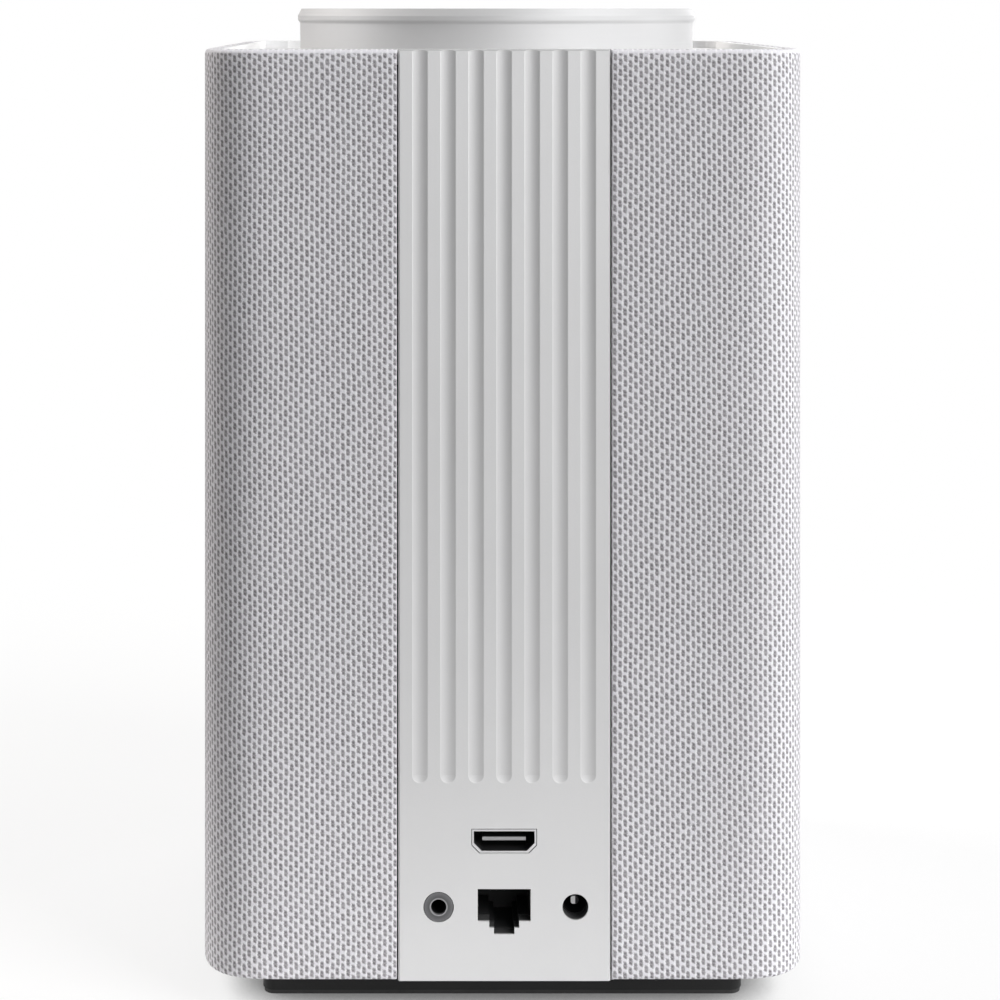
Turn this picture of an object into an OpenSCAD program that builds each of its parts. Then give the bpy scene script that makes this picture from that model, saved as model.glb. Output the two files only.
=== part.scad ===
// Smart speaker: a square column in a cloth sleeve, with a metal rear spine, a turned volume ring
// on top and a plinth under it. Millimetres. The front faces -Y, the spine and its sockets face +Y.
// The origin is the middle of the foot pad, on the table.

/* [Body] */
// Width and depth of the cloth-covered body
body_w = 141; // [138:0.5:156]
// Height of the body, from its lower edge to its top face
body_h = 214.5; // [206:0.5:240]
// Radius of the body's upright corners
corner_r = 14; // [11:0.5:18]
// Thickness of the cloth sleeve
cloth_t = 1; // [0.6:0.1:1.2]
// Width of the hem that the sleeve turns over at the top and the bottom
hem_w = 4; // [3.5:0.5:6]
// Wall of the slotted frame under the cloth
frame_wall = 2.2; // [1.6:0.1:3]
// Height of a sound slot in the frame
slot_h = 4; // [2:0.5:5]
// Distance from one row of sound slots to the next
slot_pitch = 8; // [7:0.5:12]
// Solid margin of the frame round its field of sound slots
slot_margin = 14; // [10:1:20]
// Thickness of the bottom plate
floor_t = 3; // [2.6:0.1:4]
// Thickness of the top deck
deck_t = 3.6; // [3:0.1:5]
// How far the deck's face lies below the cloth around the volume ring
deck_drop = 2; // [1:0.25:2]

/* [Base] */
// Width of the square plinth
base_w = 113.5; // [100:0.5:120]
// Radius of the plinth's upright corners
base_r = 3; // [2:0.5:12]
// Height of the plinth above the foot pad
base_h = 8; // [6:0.5:14]
// Wall and floor thickness of the plinth
base_wall = 2.4; // [1.8:0.1:3]
// Thickness of the rubber foot pad
pad_t = 1; // [0.8:0.1:2]
// Distance from the plinth's edge in to the pad's edge
pad_inset = 0.3; // [0.2:0.1:4]

/* [Rear panel] */
// Width of the metal rear panel
panel_w = 48.9; // [44:0.1:56]
// Thickness of the rear panel
panel_t = 3.5; // [3:0.1:5]
// Gap between the panel's edge and the cloth
panel_gap = 0.6; // [0.4:0.1:1.5]
// Number of upright grooves
groove_n = 7; // [3:2:7]
// Distance from one groove to the next
groove_pitch = 6.46; // [5:0.01:6.8]
// Width of a groove
groove_w = 3.6; // [2:0.1:4.4]
// Depth of a groove
groove_depth = 0.3; // [0.2:0.05:1.2]
// Height of the grooves' round lower ends above the panel's lower edge
groove_end = 45.5; // [40:0.5:70]
// Chamfer along the panel's side and top edges
panel_chamfer = 0.4; // [0.2:0.1:0.8]

/* [Sockets] */
// Height of the HDMI socket above the panel's lower edge
hdmi_z = 32.2; // [31:0.1:36]
// Width of the HDMI opening
hdmi_w = 14; // [13.6:0.1:14.2]
// Height of the HDMI opening
hdmi_h = 4.55; // [4.3:0.05:4.8]
// Slanted lower corners of the HDMI opening
hdmi_slant = 1.8; // [1.4:0.1:2]
// Sheet thickness of the HDMI shell
hdmi_shell = 0.4; // [0.3:0.05:0.5]
// Height of the Ethernet opening's top edge above the panel's lower edge
eth_top = 21; // [20:0.1:22]
// Width of the Ethernet opening
eth_w = 11.9; // [11.7:0.1:12.4]
// Height of the Ethernet opening without its latch slot
eth_h = 7.1; // [6.8:0.1:7.5]
// Width of the Ethernet opening's latch shoulder
eth_latch_w = 6.6; // [6:0.1:7]
// Width of the Ethernet opening's latch key
eth_key_w = 4.4; // [4:0.1:5]
// Height of the latch shoulder, and of the key below it
eth_step = 1.5; // [1.2:0.1:1.8]
// Distance of the audio jack from the middle of the panel
audio_x = 15.1; // [14:0.1:17]
// Height of the two round jacks above the panel's lower edge
jack_z = 17; // [16:0.1:20]
// Radius of the audio jack's metal nose
audio_r = 3.35; // [3:0.05:4]
// Radius of the audio jack's hole
audio_bore_r = 1.8; // [1.75:0.01:1.9]
// Depth of the audio jack's hole
audio_depth = 14.2; // [12:0.1:15]
// Distance of the power jack from the middle of the panel
power_x = 16.4; // [15:0.1:18]
// Radius of the power jack's barrel hole
power_bore_r = 2.85; // [2.75:0.05:3]
// Radius of the power jack's centre pin
power_pin_r = 1; // [0.8:0.05:1.25]
// Depth of the power jack's barrel hole
power_depth = 9.5; // [9:0.5:11]
// Wall round the power jack's barrel hole
power_wall = 0.9; // [0.7:0.1:1.1]
// Gap between a socket and its cut-out in the panel
port_gap = 0.15; // [0.1:0.05:0.35]

/* [Volume ring] */
// Largest radius of the volume ring, at its lip
ring_r = 51.7; // [51.2:0.1:54]
// Height of the volume ring
ring_h = 11; // [10.8:0.1:12.4]
// Wall of the volume ring at its foot
ring_wall = 2.7; // [2.3:0.1:3.2]
// Height of the ring's lip with its bevel
lip_h = 2.7; // [2.2:0.1:3.4]
// How far the ring's wall lies inside its lip
waist = 0.55; // [0.3:0.05:1]
// Gap between the ring's foot and the deck
ring_lift = 0.4; // [0.3:0.1:0.8]
// Teeth in the toothed ring
ring_teeth = 90; // [80:2:96]
// Teeth of the encoder pinion
pinion_teeth = 10; // [10:1:12]
// Solid rim of the toothed ring outside its teeth
gear_rim = 2.1; // [1.8:0.1:2.4]
// Height of the gear teeth
gear_h = 3; // [2:0.1:3]
// Radius of the encoder shaft
shaft_r = 3; // [2.5:0.1:3]

/* [Top] */
// Thickness of the top cap
cap_t = 1.5; // [1.2:0.1:1.8]
// How far the cap lies below the rim of the volume ring
cap_drop = 0.6; // [0.3:0.1:1]
// Radial width of the light ring's visible face
light_w = 3.6; // [2.5:0.1:4]
// Radius of a button
button_r = 5; // [4:0.1:6.5]
// Distance of the buttons from the middle of the cap
button_x = 13; // [11:0.5:15]
// How far the buttons stand above the cap
button_rise = 0.3; // [0.1:0.1:0.5]
// Travel of a button
button_travel = 0.4; // [0.2:0.05:0.5]
// Radius of the circle of outer microphones
mic_ring_r = 29; // [26:0.5:31]
// Number of outer microphones
mic_n = 6; // [4:1:8]
// Radius of a microphone hole in the cap
mic_hole_r = 0.7; // [0.5:0.1:1]
// Number of ring lights
led_n = 24; // [12:1:32]

/* [Speaker box] */
// Air left between a driver at the end of its travel and the slotted frame
frame_air = 3.5; // [3:0.5:5]
// Room for the boards between the box and the rear panel
board_room = 25; // [24:0.5:30]
// Room between the box and the top deck
head_room = 14; // [12:0.5:18]
// Wall of the speaker box
box_wall = 4; // [3.5:0.1:5]
// Thickness of the front baffle
baffle_t = 6; // [5:0.5:8]
// Radius of the box's upright corners
box_r = 6; // [4:0.5:6]
// Thickness of the gasket between the baffle and the box
gasket_t = 1; // [0.8:0.1:1.5]

/* [Woofer] */
// Height of the woofer's axis above the bottom plate
woofer_z = 54; // [51:0.5:60]
// Outer radius of the woofer's flange
woofer_flange_r = 45; // [44:0.5:46]
// Radius of the woofer's cone at its rim
woofer_cone_r = 30; // [29:0.5:31]
// Radius of the voice coil's former
coil_r = 12.8; // [12:0.1:14]
// Radius of the woofer's magnet
magnet_r = 36; // [33:0.5:36]
// Thickness of the woofer's magnet
magnet_t = 14; // [10:0.5:16]
// Travel of the woofer's cone each way
woofer_throw = 4; // [2:0.5:4]

/* [Passive radiators] */
// Height of the radiators' axis above the bottom plate
radiator_z = 82; // [70:0.5:95]
// Outer radius of a radiator's flange
radiator_flange_r = 46; // [45:0.5:47]
// Radius of a radiator's piston
radiator_piston_r = 31; // [30:0.5:32]
// Travel of a radiator's piston each way
radiator_throw = 5; // [2:0.5:5]

/* [Tweeters] */
// Height of the tweeters' axes above the bottom plate
tweeter_z = 146; // [135:0.5:160]
// Distance of a tweeter from the middle of the baffle
tweeter_x = 24; // [21:0.5:27]
// Outer radius of a tweeter's flange
tweeter_flange_r = 17; // [16:0.5:18]
// Radius of a tweeter's dome
dome_r = 10; // [9:0.5:10.5]
// Travel of a tweeter's dome each way
dome_throw = 0.3; // [0.1:0.05:0.4]

/* [Boards] */
// Thickness of a circuit board
board_t = 1.6; // [1.2:0.1:1.8]
// Width of the main and amplifier boards
board_w = 60; // [56:1:70]
// Height of the main board
main_h = 66; // [60:1:70]
// Height of the amplifier board
amp_h = 60; // [56:1:60]
// Width of the port board
port_board_w = 50; // [48:1:56]
// Height of the port board
port_board_h = 36; // [34:1:38]
// Distance from the panel's inner face to the main and amplifier boards
board_stand = 8.4; // [7.5:0.1:10]
// Distance from the panel's inner face to the port board
port_stand = 13.4; // [12.5:0.1:14.5]

/* [Fasteners] */
// Radius of a case or speaker screw's thread
screw_r = 1.5; // [1.25:0.05:1.5]
// Radius of a case or speaker screw's head
screw_head_r = 2.8; // [2.4:0.1:2.8]
// Radius of a board screw's thread
small_screw_r = 1; // [0.8:0.05:1.1]
// Radius of a board screw's head
small_head_r = 1.9; // [1.6:0.1:2]

/* [Clearances] */
// Gap between the cloth and the frame under it
cloth_gap = 0.3; // [0.2:0.05:0.4]
// Gap round pieces that are fixed into each other
seat_gap = 0.3; // [0.2:0.05:0.4]
// Gap between pieces that move past each other
run_gap = 0.4; // [0.3:0.05:0.5]
// Gap between the encoder shaft and its bush
shaft_gap = 0.05; // [0.03:0.01:0.1]
// Gap round a screw's thread
screw_gap = 0.1; // [0.08:0.01:0.2]

/* [Hidden] */
$fn = 64;
cut = 1;                     // how far a cutting shape runs past the face it cuts

// Levels, from the table up
base_z = pad_t;
body_z = base_z + base_h;
flange_z = body_z + cloth_t + cloth_gap;
floor_z = body_z + floor_t;
top_z = body_z + body_h;
deck_z = top_z - deck_t;
deck_flange_z = top_z - cloth_t - cloth_gap;
slot_z0 = floor_z + slot_margin;
slot_rows = floor((deck_z - slot_margin - slot_z0 - slot_h) / slot_pitch) + 1;

// Widths of the layers, from the cloth in
frame_w = body_w - 2 * (cloth_t + cloth_gap);
frame_r = corner_r - cloth_t - cloth_gap;
inner_w = frame_w - 2 * frame_wall;
inner_r = frame_r - frame_wall;
hem_open_w = body_w - 2 * hem_w;
hem_open_r = corner_r - hem_w;
step_w = hem_open_w - 2 * seat_gap;
step_r = hem_open_r - seat_gap;
slot_mullion = 8;            // solid upright bar between two columns of sound slots
slot_len = (inner_w - 2 * slot_margin - slot_mullion) / 2;

// Rear panel
panel_y = body_w / 2;        // outer face
panel_in_y = panel_y - panel_t;
groove_r = (groove_w * groove_w / 4 + groove_depth * groove_depth) / (2 * groove_depth);
lug_w = 16;                  // lugs that fix the panel to the bottom plate and hook it under the deck
lug_d = 9;
lug_h = 5;
lug_screw_y = panel_in_y - lug_d / 2;
boss_r = 2.6;                // bosses that carry the boards
boss_inset = 4;              // from a board's edges to its screws
boss_x = panel_w / 2 - boss_inset;

// Base
base_top_w = base_w - 2 * base_wall;
base_screw_x = base_w / 2 - 14;
pad_w = base_w - 2 * pad_inset;
pad_r = max(base_r - pad_inset, 0.5);
base_in_r = max(base_r - base_wall, 0.5);
post_r = 4.5;                // screw posts in the plinth and on the box

// Volume ring and its drive, from the deck up
deck_low_z = top_z - deck_drop;
deck_rim = 1.2;                           // rim of the deck left standing beside the cloth
ring_z = deck_low_z + ring_lift;
ring_top_z = ring_z + ring_h;
ring_in_r = ring_r - waist - ring_wall;
carrier_r = ring_in_r - 0.05;
plateau_r = ring_in_r - run_gap;          // raised middle of the deck, under the ring's drive
addendum = 1;                             // height and depth of a tooth from its pitch circle, in modules
dedendum = 1.25;
tooth_module = (carrier_r - gear_rim) / (ring_teeth / 2 + dedendum);
pitch_r = ring_teeth * tooth_module / 2;
pinion_pitch_r = pinion_teeth * tooth_module / 2;
pinion_x = pitch_r - pinion_pitch_r;      // distance of the encoder from the ring's axis
pinion_angle = 31.5 * 360 / ring_teeth;   // a gap between two teeth of the ring lies here
carrier_wall = 1.8;
glide_t = 0.5;
gear_z = top_z + glide_t + 0.1;
gear_top_z = gear_z + gear_h;
hub_r = pitch_r - tooth_module - 2 * run_gap;
hub_wall = 3.2;
hub_top_z = gear_top_z + seat_gap;
retainer_r = carrier_r - carrier_wall - run_gap;
retainer_t = 1.1;
retainer_z1 = hub_top_z + retainer_t;
carrier_top_z = retainer_z1 - run_gap;
retainer_screw_n = 4;
retainer_screw_x = hub_r - hub_wall / 2;
retainer_turn = 20;                       // angle of the first retainer screw

// Top cap, light ring, board and buttons, from the top down
cap_z1 = ring_top_z - cap_drop;
cap_z0 = cap_z1 - cap_t;
light_r1 = ring_in_r - run_gap;
light_r0 = light_r1 - light_w;
cap_r = light_r0 - seat_gap;
light_z1 = cap_z1 - 0.2;
light_shelf_z = cap_z0 - seat_gap;        // top of the light ring's inner shelf
top_board_r = hub_r - hub_wall - seat_gap;
top_board_t = 1.2;
top_board_z = gear_top_z + run_gap - 0.2;
top_board_z1 = top_board_z + top_board_t;
led_size = 1.6;
led_h = 0.6;
led_r = top_board_r - 1.6;
shelf_r0 = led_r - led_size;
flange_t = 0.55;
flange_extra = 1.2;                       // how far a button's flange reaches past its cap hole
flange_z1 = cap_z0 - seat_gap;
flange_z0 = flange_z1 - flange_t;
switch_z1 = flange_z0 - button_travel - 0.05;
deck_post_x = 29;

// Speaker box
driver_flange_t = 2.5;
box_half = inner_w / 2 - driver_flange_t - max(woofer_throw, radiator_throw) - frame_air;
box_front_y = -box_half;
box_back_y = panel_in_y - board_room;
box_z1 = deck_z - head_room;
joint_y = box_front_y + baffle_t;         // rear face of the baffle
shell_y = joint_y + gasket_t;
box_screw_inset = 5;                      // from the box's edges to its screws

// Drivers: heights along each driver's own axis, 0 at the face it is screwed to
roll_t = 0.6;                             // rubber thickness of a surround
woofer_cut_r = woofer_flange_r - 5.5;
woofer_roll_r0 = woofer_cone_r + 0.4;
woofer_roll_r1 = woofer_flange_r - 8;
basket_step = -12.5;                      // spider landing
basket_depth = -22;
cup_r = 28.5;
pole_r = coil_r - 1.1;
plate_bore_r = coil_r + 1.1;
plate_th = 5;
yoke_r = 30;
radiator_cut_r = radiator_flange_r - 5.5;
radiator_roll_r0 = radiator_piston_r + 0.4;
radiator_roll_r1 = radiator_flange_r - 7;
radiator_lead = 0.5;                      // how far a radiator's flange reaches in front of the box's joint
radiator_y = shell_y + radiator_flange_r - radiator_lead;
tweeter_cut_r = tweeter_flange_r - 4;
flange_screw_r = 3;                       // from a flange's edge in to its screws

// Boards, heights above the table
board_y = panel_in_y - board_stand;       // rear face of the main and amplifier boards
port_board_y = panel_in_y - port_stand;   // rear face of the port board
port_board_z = body_z + 5;
main_z = port_board_z + port_board_h + 9;
amp_z = main_z + main_h + 6;
ribbon_w = 14;
ribbon_t = 0.3;
ribbon_y = (box_back_y + board_y - board_t) / 2;
ribbon_hole_y = 20;
lead_r = 0.7;
lead_gap = 4;                             // distance between the two wires of a pair

// ---------------------------------------------------------------- shapes

// Rounded rectangle, centred
module rounded_rect(w, r) {
    square([w - 2 * r, w], center = true);
    square([w, w - 2 * r], center = true);
    for (x = [-1, 1], y = [-1, 1])
        translate([x * (w / 2 - r), y * (w / 2 - r)]) circle(r = r);
}

// Square slab with rounded upright corners
module slab(w, r, z0, z1) {
    translate([0, 0, z0]) linear_extrude(z1 - z0) rounded_rect(w, r);
}

// Box given by its limits
module block(x0, x1, y0, y1, z0, z1) {
    translate([x0, y0, z0]) cube([x1 - x0, y1 - y0, z1 - z0]);
}

module disc(r, z0, z1) {
    translate([0, 0, z0]) cylinder(r = r, h = z1 - z0);
}

module tube(r1, r0, z0, z1) {
    difference() {
        disc(r1, z0, z1);
        disc(r0, z0 - cut, z1 + cut);
    }
}

// Local +Z turned towards the front, the rear, or a side
module facing_front(x, y, z) {
    translate([x, y, z]) rotate([90, 0, 0]) children();
}
module facing_rear(x, y, z) {
    translate([x, y, z]) rotate([90, 0, 180]) children();
}
module facing_side(side, x, y, z) {
    translate([side * x, y, z]) rotate([0, side * 90, 0]) children();
}

module around(n, r, start = 0) {
    for (i = [0 : n - 1]) rotate([0, 0, start + i * 360 / n]) translate([r, 0, 0]) children();
}

// Screw along -Z with its head above 0
module screw(thread_r, head_r, length) {
    difference() {
        union() {
            disc(head_r, 0, head_r * 0.7);
            disc(thread_r, -length, cut / 2);
        }
        translate([0, 0, head_r * 0.3]) cylinder(r = head_r * 0.5, h = head_r, $fn = 6);
    }
}

module screw_hole(thread_r, z0, z1) {
    disc(thread_r + screw_gap, z0, z1);
}

// Outline of a gear whose teeth run from r_root to r_tip, as fractions of the tooth pitch
function gear_points(n, r_root, r_tip, root_share, tip_share) = [
    for (i = [0 : n - 1], p = [[r_root, -root_share], [r_tip, -tip_share],
                               [r_tip, tip_share], [r_root, root_share]])
        let (a = (i + p[1] / 2) * 360 / n) [p[0] * cos(a), p[0] * sin(a)]
];

// ---------------------------------------------------------------- base and body

module foot_pad() {
    color("#1c1c1e") slab(pad_w, pad_r, 0, pad_t);
}

module base_screw_places() {
    for (x = [-1, 1], y = [-1, 1]) translate([x * base_screw_x, y * base_screw_x, 0]) children();
}

base_head_z = base_z + base_wall;         // the screw heads sit on the plinth's floor
module base() {
    color("#28282a") difference() {
        union() {
            difference() {
                slab(base_w, base_r, base_z, body_z);
                slab(base_top_w, base_in_r, base_head_z, body_z + cut);
            }
            base_screw_places() disc(post_r, base_z, body_z);
        }
        base_screw_places() {
            screw_hole(screw_r, base_z, body_z + cut);
            disc(screw_head_r + screw_gap, base_z - cut, base_head_z);
        }
    }
}

module panel_notch(gap, z0, z1) {
    block(-panel_w / 2 - gap, panel_w / 2 + gap, panel_in_y - gap, panel_y + cut, z0, z1);
}

module bottom_plate() {
    color("#303032") difference() {
        union() {
            slab(step_w, step_r, body_z, floor_z);
            slab(frame_w, frame_r, flange_z, floor_z);
        }
        panel_notch(seat_gap, body_z - cut, floor_z + cut);
        base_screw_places() screw_hole(screw_r, body_z - cut, floor_z + cut);
        translate([0, lug_screw_y, 0]) {
            screw_hole(screw_r, body_z - cut, floor_z + cut);
            disc(screw_head_r + screw_gap, body_z - cut, body_z + screw_head_r * 0.7);
        }
    }
}

// Sound slots right across the body, in rows
module slot_rows_cut() {
    for (row = [0 : slot_rows - 1], side = [-1, 1]) {
        z = slot_z0 + row * slot_pitch;
        a = side * (slot_mullion + slot_len) / 2;
        block(a - slot_len / 2, a + slot_len / 2, -body_w / 2, -inner_w / 2 + cut, z, z + slot_h);
        block(-body_w / 2, body_w / 2, a - slot_len / 2, a + slot_len / 2, z, z + slot_h);
    }
}

module rear_gap(gap, z0, z1) {
    block(-panel_w / 2 - gap, panel_w / 2 + gap, 0, body_w, z0, z1);
}

module sleeve_frame() {
    color("#5a5a5e") difference() {
        slab(frame_w, frame_r, floor_z, deck_z);
        slab(inner_w, inner_r, floor_z - cut, deck_z + cut);
        rear_gap(panel_gap + cloth_t + cloth_gap, floor_z - cut, deck_z + cut);
        slot_rows_cut();
    }
}

module fabric_sleeve() {
    color("#b4b4b8") difference() {
        slab(body_w, corner_r, body_z, top_z);
        slab(body_w - 2 * cloth_t, corner_r - cloth_t, body_z + cloth_t, top_z - cloth_t);
        slab(hem_open_w, hem_open_r, body_z - cut, top_z + cut);
        rear_gap(panel_gap, body_z - cut, top_z + cut);
    }
}

// ---------------------------------------------------------------- rear panel and sockets

module groove() {
    rotate_extrude() intersection() {
        union() {
            circle(r = groove_r);
            translate([-groove_r, 0]) square([2 * groove_r, body_h]);
        }
        translate([0, -groove_r]) square([groove_r, body_h + groove_r]);
    }
}

// Outlines of the openings, with y up
module hdmi_outline(grow) {
    w = hdmi_w / 2 + grow;
    h = hdmi_h / 2 + grow;
    polygon([[-w, h], [w, h], [w, hdmi_slant - h], [w - hdmi_slant, -h], [hdmi_slant - w, -h],
             [-w, hdmi_slant - h]]);
}

module ethernet_outline(grow) {
    w = eth_w / 2 + grow;
    latch = eth_latch_w / 2 + grow;
    key = eth_key_w / 2 + grow;
    low = -eth_h - grow;
    polygon([[-w, grow], [w, grow], [w, low], [latch, low], [latch, low - eth_step],
             [key, low - eth_step], [key, low - 2 * eth_step], [-key, low - 2 * eth_step],
             [-key, low - eth_step], [-latch, low - eth_step], [-latch, low], [-w, low]]);
}

module board_boss_places(z, h) {
    for (x = [-1, 1], up = [boss_inset, h - boss_inset])
        translate([x * boss_x, 0, z + up]) children();
}

module board_bosses(z, h, depth) {
    board_boss_places(z, h) facing_front(0, panel_in_y + cut / 2, 0) difference() {
        disc(boss_r, 0, depth + cut / 2);
        screw_hole(small_screw_r, cut, depth + cut);
    }
}

module rear_panel() {
    c = panel_chamfer;
    w = panel_w / 2;
    color("#d4d4d6") difference() {
        union() {
            translate([0, 0, body_z]) linear_extrude(body_h)
                polygon([[-w, panel_in_y], [w, panel_in_y], [w, panel_y - c], [w - c, panel_y],
                         [c - w, panel_y], [-w, panel_y - c]]);
            board_bosses(port_board_z, port_board_h, port_stand);
            board_bosses(main_z, main_h, board_stand);
            board_bosses(amp_z, amp_h, board_stand);
            for (z = [floor_z, deck_z - lug_h])
                block(-lug_w / 2, lug_w / 2, panel_in_y - lug_d, panel_in_y + cut / 2, z, z + lug_h);
        }
        for (i = [0 : groove_n - 1])
            translate([(i - (groove_n - 1) / 2) * groove_pitch, panel_y + groove_r - groove_depth,
                       body_z + groove_end + groove_w / 2])
                groove();
        translate([0, panel_y, top_z]) rotate([45, 0, 0])
            cube([panel_w + cut, c * sqrt(2), c * sqrt(2)], center = true);
        facing_rear(0, panel_in_y - cut, body_z + hdmi_z)
            linear_extrude(panel_t + 2 * cut) hdmi_outline(hdmi_shell + port_gap);
        facing_rear(0, panel_in_y - cut, body_z + eth_top)
            linear_extrude(panel_t + 2 * cut) ethernet_outline(port_gap);
        facing_rear(audio_x, panel_in_y - cut, body_z + jack_z)
            cylinder(r = audio_r + port_gap, h = panel_t + 2 * cut);
        facing_rear(-power_x, panel_in_y - cut, body_z + jack_z)
            cylinder(r = power_bore_r + port_gap, h = panel_t + 2 * cut);
        translate([0, lug_screw_y, 0]) screw_hole(screw_r, floor_z - cut, floor_z + lug_h);
    }
}

tongue_w = 10;
tongue_t = 0.8;
tongue_drop = 1.7;           // from the opening's upper edge down to the tongue
tongue_back = 1.2;           // how far the tongue stays behind the shell's rim
module hdmi_socket() {
    depth = panel_y - port_board_y;
    color("#b8b8bc") facing_rear(0, port_board_y, body_z + hdmi_z) {
        difference() {
            linear_extrude(depth) hdmi_outline(hdmi_shell);
            translate([0, 0, hdmi_shell + 2]) linear_extrude(depth) hdmi_outline(0);
        }
        translate([-tongue_w / 2, hdmi_h / 2 - tongue_drop - tongue_t, 1])
            cube([tongue_w, tongue_t, depth - tongue_back - 1]);
    }
}

module ethernet_socket() {
    side = 1.6;
    depth = panel_in_y - seat_gap - port_board_y;
    low = eth_h + 2 * eth_step;
    color("#1d1d1f") facing_rear(0, port_board_y, body_z + eth_top) difference() {
        translate([-eth_w / 2 - side, -low - side, 0]) cube([eth_w + 2 * side, low + 2 * side, depth]);
        translate([0, 0, side]) linear_extrude(depth) ethernet_outline(0);
    }
}

module audio_jack() {
    depth = panel_y - port_board_y;
    body = 5;
    color("#7a7a7c") facing_rear(audio_x, port_board_y, body_z + jack_z) difference() {
        union() {
            disc(audio_r, 0, depth);
            translate([-body, -body, 0]) cube([2 * body, 2 * body, port_stand - seat_gap]);
        }
        disc(audio_bore_r, depth - audio_depth, depth + cut);
    }
}

module power_jack() {
    depth = port_stand - seat_gap;
    body = power_bore_r + power_wall + 1;
    color("#242426") facing_rear(-power_x, port_board_y, body_z + jack_z) {
        difference() {
            translate([-body, -body, 0]) cube([2 * body, 2 * body, depth]);
            disc(power_bore_r, depth - power_depth, depth + cut);
        }
        disc(power_pin_r, 1, depth - 0.5);
    }
}

// ---------------------------------------------------------------- top deck and volume ring

module encoder_place() {
    rotate([0, 0, pinion_angle]) translate([pinion_x, 0, 0]) children();
}

bush_wall = 1;
bush_r = shaft_r + shaft_gap + bush_wall;

module top_deck() {
    low_w = step_w - 2 * deck_rim;
    color("#c4c4c8") difference() {
        union() {
            slab(frame_w, frame_r, deck_z, deck_flange_z);
            slab(step_w, step_r, deck_z, top_z);
            tube(hub_r, hub_r - hub_wall, deck_z, hub_top_z);
            around(4, deck_post_x - post_r) disc(2, deck_z, top_board_z);
        }
        difference() {
            slab(low_w, step_r - deck_rim, deck_low_z, top_z + cut);
            disc(plateau_r, deck_low_z - cut, top_z + 2 * cut);
        }
        panel_notch(seat_gap, deck_z - cut, top_z + cut);
        encoder_place() {
            disc(bush_r + seat_gap, deck_z - cut, top_z + cut);
            disc(pinion_pitch_r + tooth_module + 2 * run_gap, top_z, hub_top_z + cut);
        }
        around(4, deck_post_x, 45) screw_hole(screw_r, deck_z - cut, top_z + cut);
        around(retainer_screw_n, retainer_screw_x, retainer_turn)
            screw_hole(small_screw_r, hub_top_z - 2.6, hub_top_z + cut);
        block(-ribbon_w / 2 - cut, ribbon_w / 2 + cut, ribbon_hole_y - cut, ribbon_hole_y + cut + ribbon_t,
              deck_z - cut, top_z + cut);
    }
}

// Half section of the volume ring: a bevelled lip, a short step under it and a nearly plain wall
bevel_w = 0.9;
step_h = 1.2;
function ring_section() = concat(
    [[ring_in_r, ring_top_z - 0.3], [ring_in_r, ring_z], [ring_r - waist - 0.1, ring_z]],
    [for (a = [180 : -30 : 0])
        [ring_r - waist * (1 - cos(a)) / 2, ring_top_z - lip_h - step_h * a / 180]],
    [[ring_r, ring_top_z - 2 * bevel_w], [ring_r - bevel_w, ring_top_z], [ring_in_r + 0.3, ring_top_z]]);

module volume_ring() {
    color("#cfcfd2") rotate_extrude($fn = 128) polygon(ring_section());
}

module ring_gear() {
    color("#e6e6e2") {
        translate([0, 0, gear_z]) linear_extrude(gear_h) difference() {
            circle(r = carrier_r);
            polygon(gear_points(ring_teeth, pitch_r + dedendum * tooth_module,
                                pitch_r - addendum * tooth_module, 0.64, 0.22));
        }
        tube(carrier_r, carrier_r - carrier_wall, gear_top_z - cut / 2, carrier_top_z);
    }
}

module ring_glide() {
    color("#f0f0ee") tube(plateau_r, carrier_r - carrier_wall - 1, top_z, top_z + glide_t);
}

module ring_retainer() {
    color("#8a8a8e") difference() {
        tube(retainer_r, hub_r - hub_wall, hub_top_z, retainer_z1);
        around(retainer_screw_n, retainer_screw_x, retainer_turn) {
            screw_hole(small_screw_r, hub_top_z - cut, retainer_z1 + cut);
            disc(retainer_head_r + screw_gap, hub_top_z + 0.4, retainer_z1 + cut);
        }
    }
}

retainer_head_r = 1.5;
module retainer_screws() {
    color("#9a9a9e") around(retainer_screw_n, retainer_screw_x, retainer_turn) {
        disc(retainer_head_r, hub_top_z + 0.4, retainer_z1 - 0.1);
        disc(small_screw_r, hub_top_z - 2.4, hub_top_z + 0.5);
    }
}

encoder_w = 12;
encoder_h = 6.5;
encoder_bore = 4;            // depth of the shaft's hole under the deck
module encoder_body() {
    w = encoder_w / 2;
    color("#3a3a3e") encoder_place() difference() {
        union() {
            block(-w, w, -w, w, deck_z - encoder_h, deck_z);
            disc(bush_r, deck_z - cut, top_z + 0.2);
        }
        disc(shaft_r + shaft_gap, deck_z - encoder_bore, top_z + cut);
    }
}

module encoder_shaft() {
    color("#a8a8ac") encoder_place() disc(shaft_r, deck_z - encoder_bore + 0.2, gear_z + gear_h - 0.4);
}

module encoder_pinion() {
    color("#e6e6e2") encoder_place() translate([0, 0, gear_z + 0.2])
        linear_extrude(gear_h - 0.4) difference() {
            polygon(gear_points(pinion_teeth, pinion_pitch_r - dedendum * tooth_module,
                                pinion_pitch_r + addendum * tooth_module, 0.62, 0.24));
            circle(r = shaft_r + 0.02);
        }
}

// ---------------------------------------------------------------- top board, lights and buttons

module top_board() {
    color("#1f5a3a") difference() {
        disc(top_board_r, top_board_z, top_board_z1);
        encoder_place() disc(pinion_pitch_r + tooth_module + run_gap, top_board_z - cut, gear_top_z);
    }
}

module ring_lights() {
    color("#f4f4e8") around(led_n, led_r)
        block(-led_size / 2, led_size / 2, -led_size / 2, led_size / 2, top_board_z1, top_board_z1 + led_h);
}

mic_turn = 30;               // angle of the first outer microphone
mic_l = 3;
mic_w = 2.2;
mic_h = 0.8;
mic_gasket_r = 1.8;
module mic_places() {
    children();
    around(mic_n, mic_ring_r, mic_turn) children();
}

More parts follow.
